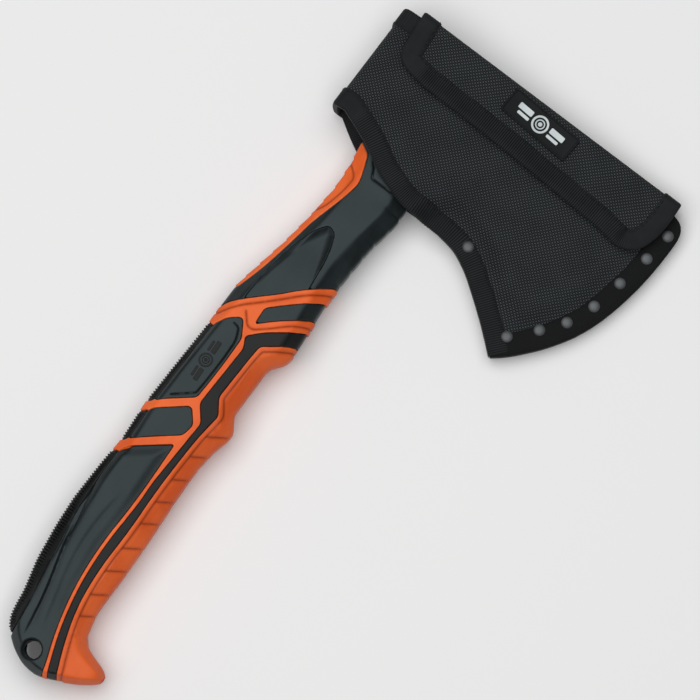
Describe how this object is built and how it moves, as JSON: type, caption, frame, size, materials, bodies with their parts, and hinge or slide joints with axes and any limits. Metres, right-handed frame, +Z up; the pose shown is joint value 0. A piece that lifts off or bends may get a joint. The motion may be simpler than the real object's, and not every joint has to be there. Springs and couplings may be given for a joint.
{
  "type": "camp axe with sheath",
  "caption": "One-handed camp axe with an over-moulded grip and pommel hook, its head in a riveted fabric sheath with a fold-over flap.",
  "frame": {"origin": "middle of the lying axe's bounding box, on the bench it lies on", "axes": "+X along the handle towards the head, +Y towards the poll, +Z up through the sheath's front; the sheath lies on its back"},
  "size_m": [0.3818, 0.1818, 0.0365],
  "materials": {
    "steel": "forged steel, ground bit, satin",
    "core_nylon": "glass-filled nylon, moulded",
    "resin": "bedding resin",
    "orange_grip": "soft-touch orange over-mould, fine satin",
    "black_grip": "soft-touch black over-mould, fine satin",
    "charcoal_grip": "charcoal moulded plate, satin",
    "ballistic_nylon": "coarse basket-weave ballistic nylon",
    "grosgrain": "ribbed grosgrain binding",
    "hem_tape": "fine woven hem tape",
    "welt": "welt sheet",
    "hook_and_loop": "hook-and-loop tape",
    "label_rubber": "moulded rubber patch",
    "emblem_grey": "light grey moulded emblem",
    "stitching": "bonded nylon thread",
    "rivet_grey": "grey satin domed rivet"
  },
  "bodies": {
    "axe": {"handle_core": "core_nylon", "upper_shaft_cover": "charcoal_grip", "spine_insert": "orange_grip", "upper_spine_strip": "black_grip", "middle_spine_strip": "black_grip", "lower_spine_strip": "black_grip", "thumb_pad_front": "charcoal_grip", "thumb_pad_back": "charcoal_grip", "waist_inlay_front": "charcoal_grip", "waist_inlay_back": "charcoal_grip", "badge_plate_front": "charcoal_grip", "badge_plate_back": "charcoal_grip", "hex_plate_front": "charcoal_grip", "hex_plate_back": "charcoal_grip", "palm_plate_front": "charcoal_grip", "palm_plate_back": "charcoal_grip", "zigzag_band_front": "black_grip", "zigzag_band_back": "black_grip", "orange_overmould": "orange_grip", "belly_grip": "orange_grip", "axe_head": "steel", "eye_sleeve": "resin", "top_wedge": "core_nylon", "sheath_front_panel": "ballistic_nylon", "sheath_back_panel": "ballistic_nylon", "sheath_poll_wrap": "ballistic_nylon", "poll_mouth_binding": "grosgrain", "poll_bottom_binding": "grosgrain", "edge_welt": "welt", "bottom_binding_front": "grosgrain", "bottom_binding_back": "grosgrain", "bit_band_front": "hem_tape", "bit_band_back": "hem_tape", "belt_loop": "grosgrain", "rivet_1": "rivet_grey", "rivet_washer_1": "rivet_grey", "rivet_2": "rivet_grey", "rivet_washer_2": "rivet_grey", "rivet_3": "rivet_grey", "rivet_washer_3": "rivet_grey", "rivet_4": "rivet_grey", "rivet_washer_4": "rivet_grey", "rivet_5": "rivet_grey", "rivet_washer_5": "rivet_grey", "rivet_6": "rivet_grey", "rivet_washer_6": "rivet_grey", "rivet_7": "rivet_grey", "rivet_washer_7": "rivet_grey", "rivet_8": "rivet_grey", "rivet_washer_8": "rivet_grey", "loop_tape": "hook_and_loop"},
    "flap_top": {"flap_top_strip": "ballistic_nylon"},
    "flap_front": {"flap_panel": "ballistic_nylon", "flap_binding": "grosgrain", "hook_tape": "hook_and_loop", "label_patch": "label_rubber"}
  },
  "joints": [
    {"name": "flap_hinge", "type": "hinge", "parent": "axe", "child": "flap_top", "pos_m": [0.19048, 0.06877, 0.002], "axis": [0.0545, 0.9985, 0], "range_deg": [0, 85]},
    {"name": "flap_fold", "type": "hinge", "parent": "flap_top", "child": "flap_front", "pos_m": [0.19048, 0.06679, 0.03287], "axis": [0.0545, 0.9903, 0.1277], "range_deg": [0, 95]}
  ]
}
